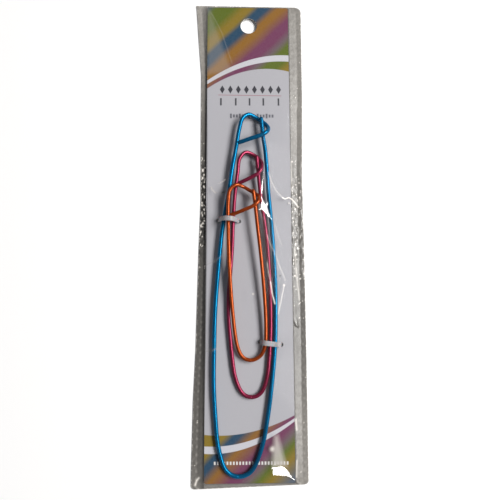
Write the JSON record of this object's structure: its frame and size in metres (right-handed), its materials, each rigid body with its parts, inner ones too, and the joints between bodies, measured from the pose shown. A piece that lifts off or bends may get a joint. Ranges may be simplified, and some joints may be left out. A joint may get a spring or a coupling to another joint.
{
  "type": "stitch holder pack",
  "caption": "Retail pack of bent-wire stitch holders: giant safety pins with hooked heads, tied to a printed backing card with a hang hole, in a clear film sleeve.",
  "frame": {"origin": "under the middle of the sleeve, on the surface that the pack lies on", "axes": "+Y up the card to the hang hole, +X across it to the pins' side, +Z out of its printed face"},
  "size_m": [0.064, 0.281, 0.0132],
  "materials": {
    "printed_board": "satin printed paperboard, grey lilac with a striped colour print at both ends",
    "blue_anodised": "glossy blue anodised wire",
    "pink_anodised": "glossy raspberry anodised wire",
    "orange_anodised": "glossy orange anodised wire",
    "tie_plastic": "translucent milky plastic strip",
    "clear_film": "thin clear wrinkled film with knurled welded seams"
  },
  "bodies": {
    "card": {"backing_card": "printed_board", "large_holder_frame": "blue_anodised", "medium_holder_frame": "pink_anodised", "small_holder_frame": "orange_anodised", "upper_tie": "tie_plastic", "lower_tie": "tie_plastic"},
    "large_pin": {"large_holder_pin": "blue_anodised"},
    "medium_pin": {"medium_holder_pin": "pink_anodised"},
    "small_pin": {"small_holder_pin": "orange_anodised"},
    "sleeve": {"sleeve_back": "clear_film", "sleeve_front": "clear_film"}
  },
  "joints": [
    {"name": "large_pin_flex", "type": "hinge", "parent": "card", "child": "large_pin", "pos_m": [-0.00615, -0.13435, 0.0032], "axis": [0, 0, 1], "range_deg": [-0.2, 0.05], "stiffness_Nm_per_rad": 0.4},
    {"name": "medium_pin_flex", "type": "hinge", "parent": "card", "child": "medium_pin", "pos_m": [0.00127, -0.0931, 0.0031], "axis": [0, 0, 1], "range_deg": [-0.1, 0.35], "stiffness_Nm_per_rad": 0.4},
    {"name": "small_pin_flex", "type": "hinge", "parent": "card", "child": "small_pin", "pos_m": [0.00106, -0.07315, 0.00385], "axis": [0, 0, 1], "range_deg": [-0.1, 4], "stiffness_Nm_per_rad": 0.2},
    {"name": "sleeve_slide", "type": "slide", "parent": "card", "child": "sleeve", "axis": [0, -1, 0], "range_m": [0, 0.285], "deforming": ["sleeve_front"]}
  ]
}
